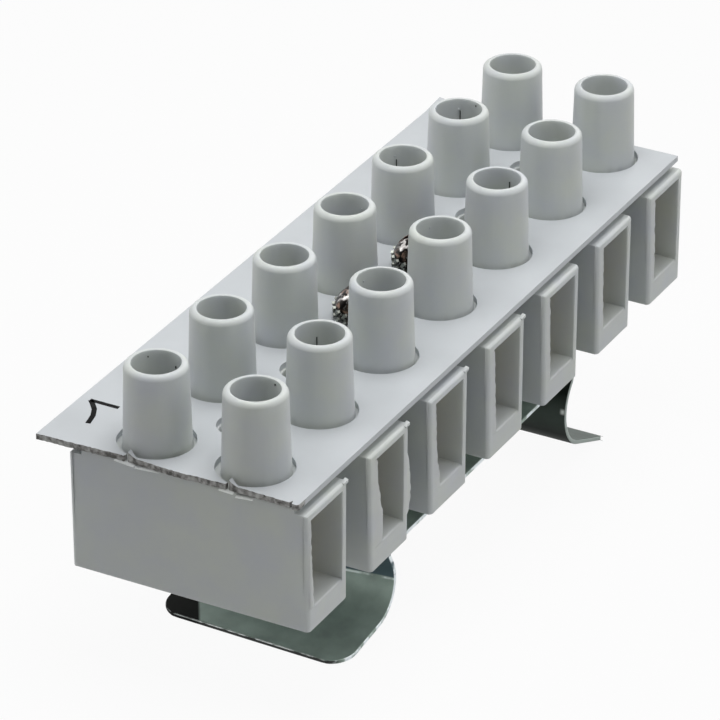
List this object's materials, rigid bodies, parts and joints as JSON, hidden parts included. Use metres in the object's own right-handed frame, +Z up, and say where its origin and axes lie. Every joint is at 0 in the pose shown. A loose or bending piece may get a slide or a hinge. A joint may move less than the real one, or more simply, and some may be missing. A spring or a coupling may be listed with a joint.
{
  "type": "terminal block",
  "caption": "Screw terminal strip: side wire entries under hollow screw towers, a label plate over the towers and a spring clip for a top-hat rail.",
  "frame": {"origin": "middle of the rail seat, on the underside of the clip's flat", "axes": "+X across the strip and along the rail, +Y along the strip from the first pole to the last, +Z up to the towers"},
  "size_m": [0.026, 0.0737, 0.0328],
  "materials": {
    "body": "satin grey moulding",
    "label_plate": "pale grey sheet",
    "rail_clip": "zinc-plated spring steel",
    "fixing": "bright plated steel",
    "terminal": "plated brass",
    "clamp_screw": "plated steel"
  },
  "bodies": {
    "strip": {"body": "body", "label_plate": "label_plate", "rail_clip": "rail_clip", "fixing_screw_1": "fixing", "fixing_screw_2": "fixing", "fixing_washer_1": "fixing", "fixing_washer_2": "fixing", "fixing_nut_1": "fixing", "fixing_nut_2": "fixing", "terminal_1": "terminal", "terminal_2": "terminal", "terminal_3": "terminal", "terminal_4": "terminal", "terminal_5": "terminal", "terminal_6": "terminal", "terminal_7": "terminal"},
    "clamp_left_1": {"clamp_screw_left_1": "clamp_screw"},
    "clamp_left_2": {"clamp_screw_left_2": "clamp_screw"},
    "clamp_left_3": {"clamp_screw_left_3": "clamp_screw"},
    "clamp_left_4": {"clamp_screw_left_4": "clamp_screw"},
    "clamp_left_5": {"clamp_screw_left_5": "clamp_screw"},
    "clamp_left_6": {"clamp_screw_left_6": "clamp_screw"},
    "clamp_left_7": {"clamp_screw_left_7": "clamp_screw"},
    "clamp_right_1": {"clamp_screw_right_1": "clamp_screw"},
    "clamp_right_2": {"clamp_screw_right_2": "clamp_screw"},
    "clamp_right_3": {"clamp_screw_right_3": "clamp_screw"},
    "clamp_right_4": {"clamp_screw_right_4": "clamp_screw"},
    "clamp_right_5": {"clamp_screw_right_5": "clamp_screw"},
    "clamp_right_6": {"clamp_screw_right_6": "clamp_screw"},
    "clamp_right_7": {"clamp_screw_right_7": "clamp_screw"}
  },
  "joints": [
    {"name": "clamp_left_1_slide", "type": "slide", "parent": "strip", "child": "clamp_left_1", "axis": [0, 0, -1], "range_m": [0, 0.0036]},
    {"name": "clamp_left_2_slide", "type": "slide", "parent": "strip", "child": "clamp_left_2", "axis": [0, 0, -1], "range_m": [0, 0.0036]},
    {"name": "clamp_left_3_slide", "type": "slide", "parent": "strip", "child": "clamp_left_3", "axis": [0, 0, -1], "range_m": [0, 0.0036]},
    {"name": "clamp_left_4_slide", "type": "slide", "parent": "strip", "child": "clamp_left_4", "axis": [0, 0, -1], "range_m": [0, 0.0036]},
    {"name": "clamp_left_5_slide", "type": "slide", "parent": "strip", "child": "clamp_left_5", "axis": [0, 0, -1], "range_m": [0, 0.0036]},
    {"name": "clamp_left_6_slide", "type": "slide", "parent": "strip", "child": "clamp_left_6", "axis": [0, 0, -1], "range_m": [0, 0.0036]},
    {"name": "clamp_left_7_slide", "type": "slide", "parent": "strip", "child": "clamp_left_7", "axis": [0, 0, -1], "range_m": [0, 0.0036]},
    {"name": "clamp_right_1_slide", "type": "slide", "parent": "strip", "child": "clamp_right_1", "axis": [0, 0, -1], "range_m": [0, 0.0036]},
    {"name": "clamp_right_2_slide", "type": "slide", "parent": "strip", "child": "clamp_right_2", "axis": [0, 0, -1], "range_m": [0, 0.0036]},
    {"name": "clamp_right_3_slide", "type": "slide", "parent": "strip", "child": "clamp_right_3", "axis": [0, 0, -1], "range_m": [0, 0.0036]},
    {"name": "clamp_right_4_slide", "type": "slide", "parent": "strip", "child": "clamp_right_4", "axis": [0, 0, -1], "range_m": [0, 0.0036]},
    {"name": "clamp_right_5_slide", "type": "slide", "parent": "strip", "child": "clamp_right_5", "axis": [0, 0, -1], "range_m": [0, 0.0036]},
    {"name": "clamp_right_6_slide", "type": "slide", "parent": "strip", "child": "clamp_right_6", "axis": [0, 0, -1], "range_m": [0, 0.0036]},
    {"name": "clamp_right_7_slide", "type": "slide", "parent": "strip", "child": "clamp_right_7", "axis": [0, 0, -1], "range_m": [0, 0.0036]}
  ]
}
